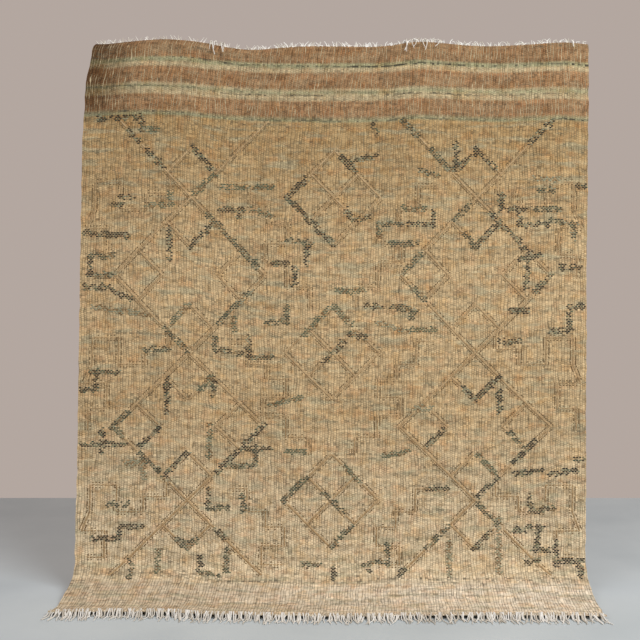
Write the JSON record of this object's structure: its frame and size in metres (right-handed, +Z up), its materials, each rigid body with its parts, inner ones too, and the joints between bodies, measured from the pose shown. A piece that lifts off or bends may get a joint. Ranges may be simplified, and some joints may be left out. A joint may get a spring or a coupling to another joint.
{
  "type": "jute rug",
  "caption": "Flat-woven jute rug with a lozenge field, banded top end and fringes, hanging from its top edge with its foot bent forward on the floor.",
  "frame": {"origin": "middle of the top edge, where the rug is held up", "axes": "+X to the right seen from the front, +Y away from the viewer, +Z up"},
  "size_m": [1.801, 0.5435, 1.9161],
  "materials": {
    "woven_jute": "matte",
    "warp_ends": "matte"
  },
  "bodies": {
    "root": {"woven_cloth": "woven_jute", "lower_fringe": "warp_ends", "upper_fringe": "warp_ends"}
  },
  "joints": []
}
